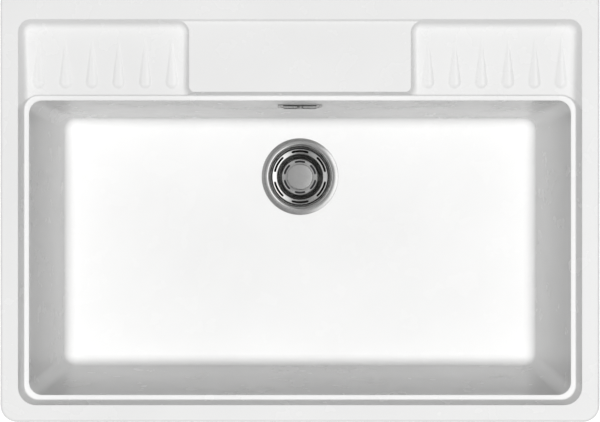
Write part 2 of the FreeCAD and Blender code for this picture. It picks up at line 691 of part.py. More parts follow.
def repeat_round(body, feature, count):
    pattern = body.newObject("PartDesign::PolarPattern", body.Name + "_round")
    pattern.Originals = [feature]
    pattern.Axis = (origin_item(body, "Z_Axis"), [""])
    pattern.Angle = 360
    bind(pattern, Occurrences=count)
    body.Tip = pattern
    return pattern


def ring(label, inner, outer, bottom, top):
    """A flat ring on the drain's axis, given by its two diameters and two heights."""
    return turned(label, [
        (f"({inner}) / 2", bottom),
        (f"({outer}) / 2", bottom),
        (f"({outer}) / 2", top),
        (f"({inner}) / 2", top),
    ])


# ---------------------------------------------------------------- waste

def strainer_cup():
    """Pressed cup: flange, cone, seat for the stopper and a dished middle with outlet holes."""
    body = turned("strainer_cup", pressed([
        ("flange / 2", "flange_top"),
        ("shoulder / 2", "flange_top"),
        ("cup_mouth / 2", "-cup_cone"),
        ("cup_mouth / 2", "-cup_depth"),
        ("seat / 2", "-cup_depth"),
        ("seat / 2", "dish_z"),
        ("clamp_thread / 2 + screw_play", "dish_z"),
    ], "strainer_sheet"))
    hole = new_sketch(body, "XY_Plane", "dish_z - strainer_sheet - overcut")
    draw_circle(hole, "(clamp_head + seat) / 4", 0, "dish_hole / 2")
    cut = pocket(body, hole, "strainer_sheet + 2 * overcut", backwards=True)
    repeat_round(body, cut, "dish_hole_count")
    return body


def waste_body():
    """Moulded funnel with its flange, threaded outlet, overflow inlet and the hub on four webs."""
    body = turned("waste_body", [
        ("waste_bore / 2", "lower_seal_z"),
        ("waste_bore / 2", "waste_foot_z"),
        ("outlet_thread / 2 - outlet_wall", "waste_foot_z"),
        ("outlet_thread / 2 - outlet_wall", "outlet_z"),
        ("outlet_thread / 2", "outlet_z"),
        ("outlet_thread / 2", "waste_foot_z - waste_wall"),
        ("waste_r", "waste_foot_z - waste_wall"),
        ("waste_r", "lower_seal_z - waste_flange_thick"),
        ("waste_flange / 2", "lower_seal_z - waste_flange_thick"),
        ("waste_flange / 2", "lower_seal_z"),
    ])

    inlet = new_sketch(body, "XZ_Plane", "waste_wall / 2 - waste_r")
    draw_circle(inlet, 0, "-inlet_drop", "union_thread / 2")
    pad(body, inlet, "inlet_reach + waste_wall / 2").Reversed = True
    bore = new_sketch(body, "XZ_Plane", "-waste_r - inlet_reach - overcut")
    draw_circle(bore, 0, "-inlet_drop", "union_bore / 2")
    pocket(body, bore, "inlet_reach + waste_wall * 3 + overcut")

    hub = new_sketch(body, "XY_Plane", "hub_z - hub_length")
    draw_circle(hub, 0, 0, "hub / 2")
    web = new_sketch(body, "XZ_Plane")
    middle = "(waste_bore + waste_wall) / 2"
    neck = "(outlet_thread - outlet_wall) / 2"
    draw_outline(web, [
        ("hub / 4", "hub_z - hub_gap"),
        (middle, "hub_z - hub_gap"),
        (middle, "waste_foot_z - waste_wall / 2"),
        (neck, "waste_foot_z - waste_wall / 2"),
        (neck, "hub_z - hub_length"),
        ("hub / 4", "hub_z - hub_length"),
    ])
    spoke = body.newObject("PartDesign::Pad", "web_pad")
    spoke.Profile = web
    spoke.Midplane = True
    bind(spoke, Length="spoke")
    repeat_round(body, spoke, "spoke_count")
    pad(body, hub, "hub_length")
    screw_hole = new_sketch(body, "XY_Plane", "hub_z + overcut")
    draw_circle(screw_hole, 0, 0, "clamp_thread / 2 + screw_play")
    pocket(body, screw_hole, "hub_length + 2 * overcut")
    prism(body, "PartDesign::SubtractivePrism", 6, "insert_size / 2", "hub_z - hub_length - overcut",
          "insert_height + overcut")
    return body


def clamp_screw():
    """Screw with a hexagon socket that draws the waste body up to the cup."""
    body = turned("clamp_screw", [
        (0, "dish_z + clamp_head_height"),
        (0, "dish_z - clamp_length"),
        ("clamp_thread / 2", "dish_z - clamp_length"),
        ("clamp_thread / 2", "dish_z"),
        ("clamp_head / 2", "dish_z"),
        ("clamp_head / 2", "dish_z + clamp_head_height"),
    ])
    prism(body, "PartDesign::SubtractivePrism", 6, "clamp_socket / 2 / cos(30)",
          "dish_z + clamp_head_height / 3", "clamp_head_height")
    return body


def insert_nut():
    """Hexagonal brass nut moulded in the hub's lower end."""
    body = new_body("insert_nut")
    prism(body, "PartDesign::AdditivePrism", 6, "insert_size / 2", 0, "insert_height")
    hole = new_sketch(body, "XY_Plane", "insert_height")
    draw_circle(hole, 0, 0, "clamp_thread / 2 + screw_play / 4")
    pocket(body, hole, "insert_height + overcut")
    place(body, 0, "drain_y", "floor_z + hub_z - hub_length")
    return body


# ---------------------------------------------------------------- strainer basket, lifts out as one

def basket():
    """Pressed basket: slotted rim, conical wall and slotted floor."""
    body = turned("basket", pressed([
        ("basket_rim / 2", "-basket_drop"),
        ("basket_mouth / 2", "-basket_drop"),
        ("basket_floor / 2", "basket_z"),
        ("knob_thread / 2 + screw_play", "basket_z"),
    ], "basket_sheet"))
    for label, ring_size, slot, height in (
        ("rim_slot", "rim_slot_ring", "rim_slot", "-basket_drop"),
        ("floor_slot", "floor_slot_ring", "floor_slot", "basket_z"),
    ):
        sketch = new_sketch(body, "XZ_Plane")
        draw_rectangle(sketch, f"({ring_size} - {slot}) / 2", f"({ring_size} + {slot}) / 2",
                       f"{height} - overcut / 2", f"{height} + overcut / 2")
        groove = body.newObject("PartDesign::Groove", label + "_cut")
        groove.Profile = sketch
        groove.ReferenceAxis = (sketch, ["V_Axis"])
        groove.Midplane = True
        bind(groove, Angle="slot_sweep")
        repeat_round(body, groove, "slot_count")
    body.Placement.Rotation = FreeCAD.Rotation(Vector(0, 0, 1), value("slot_turn"))
    body.setExpression("Placement.Rotation.Angle", formula("slot_turn"))
    return body


def basket_knob():
    """Flat round knob on a waisted neck, with a blind threaded hole."""
    return turned("basket_knob", [
        ("knob_thread / 2 + screw_play / 4", "basket_z"),
        ("knob_neck / 2", "basket_z"),
        ("knob_neck / 2", "basket_z + knob_height - knob_thick"),
        ("knob / 2", "basket_z + knob_height - knob_thick"),
        ("knob / 2", "basket_z + knob_height"),
        (0, "basket_z + knob_height"),
        (0, "basket_z + knob_thread_depth"),
        ("knob_thread / 2 + screw_play / 4", "basket_z + knob_thread_depth"),
    ])


def stopper_plate():
    """Moulded plate under the basket: spacer boss above, the rubber's spigot below."""
    return turned("stopper_plate", [
        ("knob_thread / 2 + screw_play", "basket_z - basket_sheet"),
        ("knob_thread / 2 + screw_play", "rubber_z"),
        ("stopper_spigot / 2", "rubber_z"),
        ("stopper_spigot / 2", "plate_z"),
        ("stopper / 2", "plate_z"),
        ("stopper / 2", "plate_z + stopper_thick"),
        ("stopper_boss / 2", "plate_z + stopper_thick"),
        ("stopper_boss / 2", "basket_z - basket_sheet"),
    ])


def knob_screw():
    """Screw from below through stopper plate and basket into the knob."""
    return turned("knob_screw", [
        (0, "basket_z + knob_thread_depth - screw_play"),
        (0, "rubber_z - knob_head_height"),
        ("knob_head / 2", "rubber_z - knob_head_height"),
        ("knob_head / 2", "rubber_z"),
        ("knob_thread / 2", "rubber_z"),
        ("knob_thread / 2", "basket_z + knob_thread_depth - screw_play"),
    ])


# ---------------------------------------------------------------- overflow, in the rear wall's frame

def bent_strip(body, path, sheet_size, width):
    """A strip pressed to a path of (behind, up) corners, made to both sides of the middle."""
    sketch = new_sketch(body, "YZ_Plane")
    draw_outline(sketch, pressed(path, sheet_size))
    strip = body.newObject("PartDesign::Pad", body.Name + "_strip")
    strip.Profile = sketch
    strip.Midplane = True
    bind(strip, Length=width)
    return strip


def overflow_cover():
    """Stainless plate with two inlet slots and a raised bridge that is open at both ends."""
    body = new_body("overflow_cover")
    plate = new_sketch(body, "XZ_Plane")
    draw_rectangle(plate, "-cover_width / 2", "cover_width / 2",
                   "-cover_height / 2", "cover_height / 2", "cover_corner")
    pad(body, plate, "cover_sheet")
    window = new_sketch(body, "XZ_Plane", "cover_sheet + overcut")
    draw_rectangle(window, "-bridge_width / 2 + cover_sheet", "bridge_width / 2 - cover_sheet",
                   "-cover_height / 2 + cover_sheet * 3", "cover_height / 2 - cover_sheet * 3")
    pocket(body, window, "cover_sheet + 2 * overcut")
    for side in (-1, 1):
        slot = new_sketch(body, "XZ_Plane", "cover_sheet + overcut")
        near_edge, far_edge = "bridge_width / 2", "bridge_width / 2 + inlet_width"
        left, right = (near_edge, far_edge) if side > 0 else (f"-({far_edge})", f"-({near_edge})")
        draw_rectangle(slot, left, right, "cover_height / 2 - inlet_top - inlet_height",
                       "cover_height / 2 - inlet_top")
        pocket(body, slot, "cover_sheet + 2 * overcut")
    top = "cover_height / 2 - cover_sheet"
    bent_strip(body, [
        ("-cover_sheet", top),
        ("-bridge_rise", f"{top} - bridge_slope / 2", "cover_sheet"),
        ("-bridge_rise", "-cover_head / 2 - cover_sheet", "cover_height / 4"),
        ("-bridge_swell", "-cover_height / 2 + bridge_swell", "cover_sheet"),
        ("-cover_sheet", "-cover_height / 2 + cover_sheet"),
    ], "cover_sheet", "bridge_width")
    hole = new_sketch(body, "XZ_Plane", "bridge_swell + overcut")
    draw_circle(hole, 0, 0, "cover_thread / 2 + screw_play")
    pocket(body, hole, "bridge_swell + 2 * overcut")
    lean_with_wall(body)
    return body


def across_wall(label, corners):
    """A turned piece on the overflow's axis, square through the rear wall, +Z of it into the bowl."""
    body = new_body(label)
    revolve(body, "XZ_Plane", corners)
    tilt(body, "90 - wall_lean", "overflow_y", "overflow_z")
    return body


def overflow_screw():
    """Round-headed screw from the cover's bridge into the housing's insert."""
    return across_wall("overflow_screw", [
        (0, "bridge_rise + cover_head_height"),
        (0, "bridge_rise - cover_screw_length"),
        ("cover_thread / 2", "bridge_rise - cover_screw_length"),
        ("cover_thread / 2", "bridge_rise"),
        ("cover_head / 2", "bridge_rise"),
        ("cover_head / 2", "bridge_rise + cover_head_height"),
    ])


def overflow_insert():
    """Brass sleeve in the housing's boss."""
    front = "-wall_through - boss_gap"
    return across_wall("overflow_insert", [
        ("cover_thread / 2 + screw_play / 4", front),
        ("cover_thread / 2 + screw_play / 4", f"{front} - overflow_insert_length"),
        ("overflow_insert / 2", f"{front} - overflow_insert_length"),
        ("overflow_insert / 2", front),
    ])


def overflow_seal():
    """Rubber frame between the wall's outer face and the housing."""
    body = new_body("overflow_seal")
    outline = new_sketch(body, "XZ_Plane", "-wall_through")
    reach = "(housing_flange - 1)"
    draw_rectangle(outline, f"-housing_half - {reach}", f"housing_half + {reach}",
                   f"-housing_low - {reach}", f"housing_low + {reach}", f"housing_corner + {reach}")
    pad(body, outline, "overflow_seal_thick").Reversed = True
    hole = new_sketch(body, "XZ_Plane", "overcut - wall_through")
    draw_rectangle(hole, "-wall_hole_width / 2", "wall_hole_width / 2",
                   "-wall_hole_height / 2", "wall_hole_height / 2", "wall_hole_corner")
    pocket(body, hole, "overflow_seal_thick + 2 * overcut")
    lean_with_wall(body)
    return body


def overflow_housing():
    """Moulded chamber behind the wall: flange, screw boss with its insert's hole, spigot below."""
    body = new_body("overflow_housing")
    flange = new_sketch(body, "XZ_Plane", "-housing_front")
    draw_rectangle(flange, "-housing_half - housing_flange", "housing_half + housing_flange",
                   "-housing_low - housing_flange", "housing_low + housing_flange",
                   "housing_corner + housing_flange")
    pad(body, flange, "housing_flange_thick").Reversed = True
    shell = new_sketch(body, "XZ_Plane", "-housing_front - housing_flange_thick / 2")
    draw_rectangle(shell, "-housing_half", "housing_half", "-housing_low", "housing_low", "housing_corner")
    pad(body, shell, "housing_depth - housing_flange_thick / 2").Reversed = True
    spigot = new_sketch(body, "XY_Plane", "-spigot_end")
    draw_circle(spigot, 0, "spigot_y", "union_thread / 2")
    pad(body, spigot, "spigot_length + housing_wall")
    room = new_sketch(body, "XZ_Plane", "overcut - housing_front")
    draw_rectangle(room, "-housing_half + housing_wall", "housing_half - housing_wall",
                   "-housing_low + housing_wall", "housing_low - housing_wall",
                   "housing_corner - housing_wall")
    pocket(body, room, "housing_depth - housing_wall + overcut")
    boss_front = "(wall_through + boss_gap)"
    boss = new_sketch(body, "XZ_Plane", f"-{boss_front}")
    draw_circle(boss, 0, 0, "boss / 2")
    pad(body, boss, f"housing_front + housing_depth - housing_wall / 2 - {boss_front}").Reversed = True
    hole = new_sketch(body, "XZ_Plane", f"overcut - {boss_front}")
    draw_circle(hole, 0, 0, "overflow_insert / 2")
    pocket(body, hole, "overflow_insert_length + overcut")
    bore = new_sketch(body, "XY_Plane", "-spigot_end - overcut")
    draw_circle(bore, 0, "spigot_y", "union_bore / 2")
    pocket(body, bore, "spigot_length + 2 * housing_wall + overcut", backwards=True)
    lean_with_wall(body)
    return body


# ---------------------------------------------------------------- overflow hose and its unions

def union_nut(label, angle, back, up):
    """Union nut in its own frame: Z runs along the hose from the threaded face."""
    body = new_body(label)
    lip_foot = "union_seal_thick + hose_collar_thick"
    prism(body, "PartDesign::AdditivePrism", 8, "nut_size / 2", "-nut_skirt",
          f"nut_skirt + {lip_foot} + nut_lip")
    for radius, top in (("union_thread / 2 + nut_play", lip_foot),
                        ("hose_tube / 2 + nut_play", f"{lip_foot} + nut_lip + overcut")):
        room = new_sketch(body, "XY_Plane", "-nut_skirt - overcut")
        draw_circle(room, 0, 0, radius)
        pocket(body, room, f"nut_skirt + overcut + {top}", backwards=True)
    tilt(body, angle, back, up)
    return body


def union_seal(label, angle, back, up):
    body = new_body(label)
    revolve(body, "XZ_Plane", [
        ("union_bore / 2", 0),
        ("union_thread / 2", 0),
        ("union_thread / 2", "union_seal_thick"),
        ("union_bore / 2", "union_seal_thick"),
    ])
    tilt(body, angle, back, up)
    return body


UPPER_UNION = ("180 - wall_lean", "spigot_world_y", "spigot_world_z")
LOWER_UNION = ("-90", "inlet_y", "inlet_z")


BORE_BENDS = 3


class HoseRoute:
    """The hose's middle line: down beside the wall, one arc, then forward into the inlet."""

    def __init__(self):
        lean = math.radians(value("wall_lean"))
        seal = value("union_seal_thick")
        self.down = Vector(0, -math.sin(lean), -math.cos(lean))
        self.start = Vector(0, value("spigot_world_y"), value("spigot_world_z")) + self.down * seal
        self.end = Vector(0, value("inlet_y") + seal, value("inlet_z"))
        drop = (self.end.z - self.start.z) / self.down.z
        corner = self.start + self.down * drop
        turn = math.pi / 2 - lean
        reach = (corner - self.end).Length - value("hose_size")
        self.radius = reach / math.tan(turn / 2)
        self.first_run = drop - reach
        self.bend = self.radius * turn
        self.length = self.first_run + self.bend + value("hose_size")
        self.bend_start = self.start + self.down * self.first_run
        self.centre = self.bend_start + Vector(0, self.down.z, -self.down.y) * self.radius

    def at(self, distance):
        """The point on the line and the line's direction at a distance from its upper end."""
        if distance <= self.first_run:
            return self.start + self.down * distance, self.down
        angle = math.degrees(min(distance - self.first_run, self.bend) / self.radius)
        turn = FreeCAD.Rotation(Vector(1, 0, 0), -angle)
        along = turn.multVec(self.down)
        point = self.centre + turn.multVec(self.bend_start - self.centre)
        return point + along * max(distance - self.first_run - self.bend, 0), along


def circle_on(route, distance, diameter):
    """A circle square to the route, its seam kept on the same side all the way."""
    point, along = route.at(distance)
    circle = Part.Circle(point, along, diameter / 2)
    circle.XAxis = Vector(1, 0, 0)
    return Part.Wire([circle.toShape()])


def overflow_hose():
    """Hose with smooth runs, a ribbed bend, a collar at each end and its bore."""
    route = HoseRoute()
    crest, smooth, bore = value("hose_size"), value("hose_tube"), value("hose_bore")
    collar_size, collar = value("union_thread"), value("hose_collar_thick")
    count = round(route.bend / value("rib_step"))
    step = route.bend / count
    stations = [(0, smooth), (route.first_run, smooth)]
    for index in range(count):
        start = route.first_run + index * step
        stations += [
            (start + step * 0.3, crest),
            (start + step * 0.7, crest),
            (start + step, smooth),
        ]
    stations.append((route.length, smooth))
    ribs = Part.makeLoft([circle_on(route, distance, size) for distance, size in stations], True, True)
    collars = [
        Part.makeCylinder(collar_size / 2, collar, route.start, route.down),
        Part.makeCylinder(collar_size / 2, collar, route.end, Vector(0, 1, 0)),
    ]
    bends = [route.first_run + route.bend * index / BORE_BENDS for index in range(BORE_BENDS + 1)]
    bore_line = [0] + bends + [route.length]
    hollow = Part.makeLoft([circle_on(route, distance, bore) for distance in bore_line], True, True)
    item = doc.addObject("Part::Feature", "overflow_hose")
    item.Shape = ribs.fuse(collars).cut(hollow)
    return item


def check_objects():
    """Stop before anything is written if an object failed or its shape is empty or broken."""
    for item in doc.Objects:
        if "Invalid" in item.State or "Error" in item.State:
            raise RuntimeError(f"{item.Label}: {item.State}")
    for piece in pieces:
        if piece.Shape.isNull() or not piece.Shape.isValid() or len(piece.Shape.Solids) != 1:
            raise RuntimeError(f"{piece.Label}: not one valid solid")


pieces = [
    sink_body(),
    strainer_cup(),
    ring("flange_seal", "drain_hole", "seal_edge", 0, "seal_thick"),
    ring("lower_seal", "drain_hole", "waste_flange - 2", "lower_seal_z", "-floor_wall"),
    waste_body(),
    clamp_screw(),
    insert_nut(),
    basket(),
    basket_knob(),
    stopper_plate(),
    ring("stopper_seal", "stopper_spigot", "stopper_rubber", "rubber_z", "plate_z"),
    knob_screw(),
    overflow_cover(),
    overflow_screw(),
    overflow_insert(),
    overflow_seal(),
    overflow_housing(),
    union_nut("hose_nut_upper", *UPPER_UNION),
    union_nut("hose_nut_lower", *LOWER_UNION),
    union_seal("hose_seal_upper", *UPPER_UNION),
    union_seal("hose_seal_lower", *LOWER_UNION),
    overflow_hose(),
]
doc.recompute()
check_objects()
os.makedirs("parts", exist_ok=True)
for piece in pieces:
    piece.Shape.exportStep(f"parts/{piece.Label}.step")
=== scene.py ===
"""Looks of a glazed ceramic kitchen sink with its basket strainer, waste and overflow. Metres."""

import math

import bmesh
import bpy
from mathutils import Matrix, Vector


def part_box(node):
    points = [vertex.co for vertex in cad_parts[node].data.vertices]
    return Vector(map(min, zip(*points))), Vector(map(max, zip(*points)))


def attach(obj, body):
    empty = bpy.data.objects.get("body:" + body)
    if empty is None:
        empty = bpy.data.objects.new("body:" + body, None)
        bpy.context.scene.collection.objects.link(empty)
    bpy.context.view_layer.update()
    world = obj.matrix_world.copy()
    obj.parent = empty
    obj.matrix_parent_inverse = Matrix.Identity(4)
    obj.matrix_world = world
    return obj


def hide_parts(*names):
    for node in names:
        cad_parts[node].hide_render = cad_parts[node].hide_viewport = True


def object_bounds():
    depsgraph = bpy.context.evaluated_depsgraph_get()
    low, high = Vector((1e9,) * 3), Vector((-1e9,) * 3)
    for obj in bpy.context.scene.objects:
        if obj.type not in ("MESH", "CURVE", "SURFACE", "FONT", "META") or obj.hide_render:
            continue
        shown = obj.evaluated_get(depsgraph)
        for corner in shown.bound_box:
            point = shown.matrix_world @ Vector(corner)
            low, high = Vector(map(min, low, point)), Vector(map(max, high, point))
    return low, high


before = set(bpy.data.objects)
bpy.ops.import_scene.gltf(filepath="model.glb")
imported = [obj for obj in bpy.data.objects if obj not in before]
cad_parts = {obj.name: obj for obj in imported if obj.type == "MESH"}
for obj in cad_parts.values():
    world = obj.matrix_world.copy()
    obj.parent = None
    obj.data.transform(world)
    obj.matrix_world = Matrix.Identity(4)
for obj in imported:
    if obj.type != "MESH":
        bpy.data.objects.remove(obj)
CAD_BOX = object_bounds()

MM = 0.001

# heights of the ceramic body
SINK_LOW, SINK_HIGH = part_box("sink_body")
RIM_Z = SINK_HIGH.z
LEDGE_Z = RIM_Z - 18 * MM
FLOOR_Z = RIM_Z - 200 * MM

# the bowl at its side, front and rear: its inner edge at the ledge, and how far each wall leans in
BOWL_EDGE = (362.6 * MM, -452.1 * MM, -58.1 * MM)
BOWL_LEAN = (17 * MM, 20 * MM, 12 * MM)
CERAMIC_WALL = 12 * MM

# where the trays' softer arrises set in, from front to back and on the way down from the rim
TRAY_FRONT = (-55 * MM, -50 * MM)
TRAY_EDGE = (RIM_Z - 5 * MM, RIM_Z - 8 * MM)

# middle of the strainer at the bowl's floor, and the radii of the outlet's thread
BASKET_LOW, BASKET_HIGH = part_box("basket")
DRAIN = Vector((0, (BASKET_LOW.y + BASKET_HIGH.y) / 2, FLOOR_Z))
THREAD_CREST, THREAD_ROOT = 23.9 * MM, 22.7 * MM

HOSE_COLLAR = 11.4 * MM

# faces that meet at more than these angles keep a sharp edge
CASTING_CORNER = math.radians(24)
SHEET_CORNER = math.radians(40)
HOSE_CORNER = math.radians(50)

# steps round the drain's axis, round a hole, along a slot and round a slot's end
ROUND_STEPS, HOLE_STEPS, SLOT_STEPS, SLOT_END_STEPS = 96, 24, 16, 6

# the camera over the rim, and the lamp far above it
CAMERA_HEIGHT = 1677 * MM
LAMP_PLACE = (0, -0.92, RIM_Z + 9)
LAMP_WATTS = 890


# ------------------------------------------------------------------ finishes

class Nodes:
    """A node tree and short ways to add to it."""

    def __init__(self, tree):
        self.tree = tree

    def node(self, kind, **settings):
        made = self.tree.nodes.new("ShaderNode" + kind)
        for key, setting in settings.items():
            setattr(made, key, setting)
        return made

    def join(self, start, end):
        self.tree.links.new(start, end)

    def spread(self, value, low, high, start=0.0, end=1.0):
        """Stretch a value from one span to another, whose ends may be other nodes' outputs."""
        span = self.node("MapRange")
        self.join(value, span.inputs["Value"])
        for name, number in (("From Min", start), ("From Max", end), ("To Min", low), ("To Max", high)):
            if isinstance(number, bpy.types.NodeSocket):
                self.join(number, span.inputs[name])
            else:
                span.inputs[name].default_value = number
        return span.outputs["Result"]

    def combine(self, operation, first, second):
        """Two values multiplied or added."""
        made = self.node("Math", operation=operation)
        self.join(first, made.inputs[0])
        self.join(second, made.inputs[1])
        return made.outputs[0]

    def parted(self, vector):
        """The outputs X, Y and Z of a vector."""
        parts = self.node("SeparateXYZ")
        self.join(vector, parts.inputs[0])
        return parts.outputs


class Finish(Nodes):
    """A material and the nodes that colour, roughen and emboss it."""

    def __init__(self, name, color, roughness, metallic=0.0):
        self.material = bpy.data.materials.new(name)
        self.material.use_nodes = True
        super().__init__(self.material.node_tree)
        self.shader = self.tree.nodes["Principled BSDF"]
        self.shader.inputs["Base Color"].default_value = (*color, 1)
        self.shader.inputs["Roughness"].default_value = roughness
        self.shader.inputs["Metallic"].default_value = metallic
        self.place = self.node("TexCoord").outputs["Object"]

    def centred(self, centre, scale=(1, 1, 1)):
        """Object coordinates counted from a point and stretched."""
        shift = self.node("VectorMath", operation="SUBTRACT")
        self.join(self.place, shift.inputs[0])
        shift.inputs[1].default_value = centre
        stretch = self.node("VectorMath", operation="MULTIPLY")
        self.join(shift.outputs[0], stretch.inputs[0])
        stretch.inputs[1].default_value = scale
        return stretch.outputs[0]

    def grain(self, scale, detail, where=None):
        """Noise whose grains number about its scale in a metre."""
        noise = self.node("TexNoise")
        noise.inputs["Scale"].default_value = scale
        noise.inputs["Detail"].default_value = detail
        self.join(where or self.place, noise.inputs["Vector"])
        return noise.outputs["Fac"]

    def tint(self, value, first, second, start=0.35, end=0.65):
        """Colour the surface from one colour to another as a value grows."""
        ramp = self.node("ValToRGB")
        ramp.color_ramp.elements[0].position = start
        ramp.color_ramp.elements[1].position = end
        ramp.color_ramp.elements[0].color = (*first, 1)
        ramp.color_ramp.elements[1].color = (*second, 1)
        self.join(value, ramp.inputs["Fac"])
        self.join(ramp.outputs["Color"], self.shader.inputs["Base Color"])
        return ramp.outputs["Color"]

    def cover(self, under, color, share):
        """Lay a second colour over the first by a share."""
        layer = self.node("Mix", data_type="RGBA")
        factor, lower, upper = layer.inputs[0], layer.inputs[6], layer.inputs[7]
        self.join(share, factor)
        self.join(under, lower)
        upper.default_value = (*color, 1)
        self.join(layer.outputs[2], self.shader.inputs["Base Color"])

    def polish(self, value, low, high):
        """Roughen the surface from low to high as a value grows."""
        self.join(self.spread(value, low, high, 0.3, 0.7), self.shader.inputs["Roughness"])

    def emboss(self, value, height, strength, under=None):
        """Raise the surface by a value, over an earlier relief if there is one."""
        bump = self.node("Bump")
        bump.inputs["Strength"].default_value = strength
        bump.inputs["Distance"].default_value = height
        self.join(value, bump.inputs["Height"])
        if under is not None:
            self.join(under, bump.inputs["Normal"])
        self.join(bump.outputs["Normal"], self.shader.inputs["Normal"])
        return bump.outputs["Normal"]


def glazed_ceramic():
    """White glaze: faint clouding, a soft orange-peel, softened arrises, duller in the scoured bowl."""
    glaze = Finish("glazed_ceramic", (0.77, 0.77, 0.765), 0.25)
    glaze.shader.inputs["IOR"].default_value = 1.5
    glaze.tint(glaze.grain(7, 3), (0.76, 0.76, 0.757), (0.78, 0.78, 0.777))
    glaze.polish(glaze.grain(24, 4), 0.2, 0.3)
    place = glaze.parted(glaze.place)
    scoured = glaze.spread(place["Z"], 0.12, 0.5, LEDGE_Z - CERAMIC_WALL, LEDGE_Z)
    glaze.join(scoured, glaze.shader.inputs["Specular IOR Level"])
    behind_ledge = glaze.spread(place["Y"], 0, 1, *TRAY_FRONT)
    below_rim = glaze.spread(place["Z"], 0, 1, *TRAY_EDGE)
    in_tray = glaze.combine("MULTIPLY", behind_ledge, below_rim)
    arris = glaze.node("Bevel", samples=8)
    glaze.join(glaze.spread(in_tray, 1.5 * MM, 3 * MM), arris.inputs["Radius"])
    peel = glaze.emboss(glaze.grain(85, 1), 0.08 * MM, 0.1, arris.outputs["Normal"])
    glaze.emboss(glaze.grain(18, 0), 0.2 * MM, 0.04, peel)
    return glaze.material


def raw_ceramic():
    """Unglazed fired clay on the underside: warm, matt, finely pitted and faintly stained."""
    clay = Finish("raw_ceramic", (0.66, 0.62, 0.55), 0.85)
    clay.tint(clay.grain(14, 6), (0.58, 0.54, 0.47), (0.72, 0.69, 0.63))
    clay.polish(clay.grain(60, 3), 0.75, 0.95)
    coarse = clay.emboss(clay.grain(220, 4), 0.3 * MM, 0.5)
    pits = clay.node("TexVoronoi")
    pits.inputs["Scale"].default_value = 160
    clay.join(clay.place, pits.inputs["Vector"])
    clay.emboss(clay.spread(pits.outputs["Distance"], 0, 1, 0.0, 0.25), 0.3 * MM, 0.35, coarse)
    return clay.material


def steel(name, color, low, high, axis=None, rings=900, depth=0.02, painted_shade_height=None):
    """Stainless steel, brushed along rings round an axis or along X, with painted shade laid over it
    below a height.
    """
    metal = Finish(name, color, low, 1.0)
    if axis is None:
        lines = metal.grain(1, 3, metal.centred((0, 0, 0), (20, 1600, 1600)))
    else:
        radius = metal.node("VectorMath", operation="LENGTH")
        metal.join(metal.centred(axis, (1, 1, 0.3)), radius.inputs[0])
        ring = metal.node("CombineXYZ")
        metal.join(radius.outputs["Value"], ring.inputs["X"])
        lines = metal.grain(rings, 3, ring.outputs[0])
    dulled = tuple(part * 0.86 for part in color)
    clean = metal.tint(metal.grain(45, 4), dulled, color, 0.25, 0.6)
    # painted shade: below the given height the metal turns near black, standing in for the shade deep
    # under the basket
    if painted_shade_height is not None:
        height = metal.parted(metal.place)["Z"]
        painted_shade_share = metal.spread(height, 0, 1, painted_shade_height, painted_shade_height - 3 * MM)
        metal.cover(clean, (0.06, 0.058, 0.054), painted_shade_share)
    metal.polish(lines, low, high)
    metal.emboss(lines, depth * MM, 0.5)
    return metal.material


def rubber():
    """Black seal rubber, matt and finely grained."""
    soft = Finish("rubber", (0.02, 0.02, 0.021), 0.6)
    soft.tint(soft.grain(120, 4), (0.014, 0.014, 0.015), (0.03, 0.03, 0.031))
    soft.polish(soft.grain(260, 3), 0.5, 0.75)
    soft.emboss(soft.grain(900, 2), 0.05 * MM, 0.4)
    return soft.material


def moulded(name, dark, light, low, high):
    """Injection-moulded plastic with a fine spark-eroded skin and slight flow marks."""
    plastic = Finish(name, light, low)
    plastic.tint(plastic.grain(26, 3, plastic.centred((0, 0, 0), (1, 1, 3))), dark, light)
    plastic.polish(plastic.grain(90, 3), low, high)
    plastic.emboss(plastic.grain(1400, 1), 0.03 * MM, 0.5)
    return plastic.material


def brass():
    """Turned brass, dulled in patches and lined across."""
    metal = Finish("brass", (0.72, 0.52, 0.24), 0.3, 1.0)
    metal.tint(metal.grain(180, 4), (0.55, 0.37, 0.15), (0.78, 0.58, 0.28))
    metal.polish(metal.grain(300, 3), 0.25, 0.5)
    metal.emboss(metal.grain(1, 2, metal.centred((0, 0, 0), (1500, 60, 60))), 0.03 * MM, 0.5)
    return metal.material


GLAZE = glazed_ceramic()
CLAY = raw_ceramic()
# the cup's inside more than 11 mm under the bowl's floor gets painted shade, so the basket's slots look
# dark
CUP_STEEL = steel("cup_steel", (0.55, 0.55, 0.545), 0.16, 0.26, DRAIN, painted_shade_height=FLOOR_Z - 11 * MM)
BASKET_STEEL = steel("basket_steel", (0.55, 0.55, 0.545), 0.18, 0.3, DRAIN)
KNOB_STEEL = steel("knob_steel", (0.57, 0.57, 0.565), 0.2, 0.28, DRAIN, 1400, 0.008)
COVER_STEEL = steel("cover_steel", (0.38, 0.38, 0.375), 0.2, 0.34)
SCREW_STEEL = steel("screw_steel", (0.58, 0.58, 0.57), 0.22, 0.4)
BRASS = brass()
RUBBER = rubber()
WASTE_PLASTIC = moulded("waste_plastic", (0.74, 0.74, 0.72), (0.82, 0.82, 0.8), 0.36, 0.5)
NUT_PLASTIC = moulded("nut_plastic", (0.68, 0.68, 0.66), (0.78, 0.78, 0.76), 0.34, 0.48)
STOPPER_PLASTIC = moulded("stopper_plastic", (0.02, 0.02, 0.021), (0.04, 0.04, 0.042), 0.35, 0.55)
HOSE_PLASTIC = moulded("hose_plastic", (0.42, 0.43, 0.44), (0.56, 0.57, 0.58), 0.42, 0.58)


# ------------------------------------------------------------------ pieces

def finished(name, shape, body, slot, replaced, *materials):
    """Make a bmesh the object's piece: it rides on a body and stands for its CAD nodes."""
    mesh = bpy.data.meshes.new(name)
    shape.to_mesh(mesh)
    shape.free()
    for material in materials:
        mesh.materials.append(material)
    piece = bpy.data.objects.new(name, mesh)
    bpy.context.scene.collection.objects.link(piece)
    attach(piece, body)
    if replaced:
        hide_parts(*replaced)
    return piece


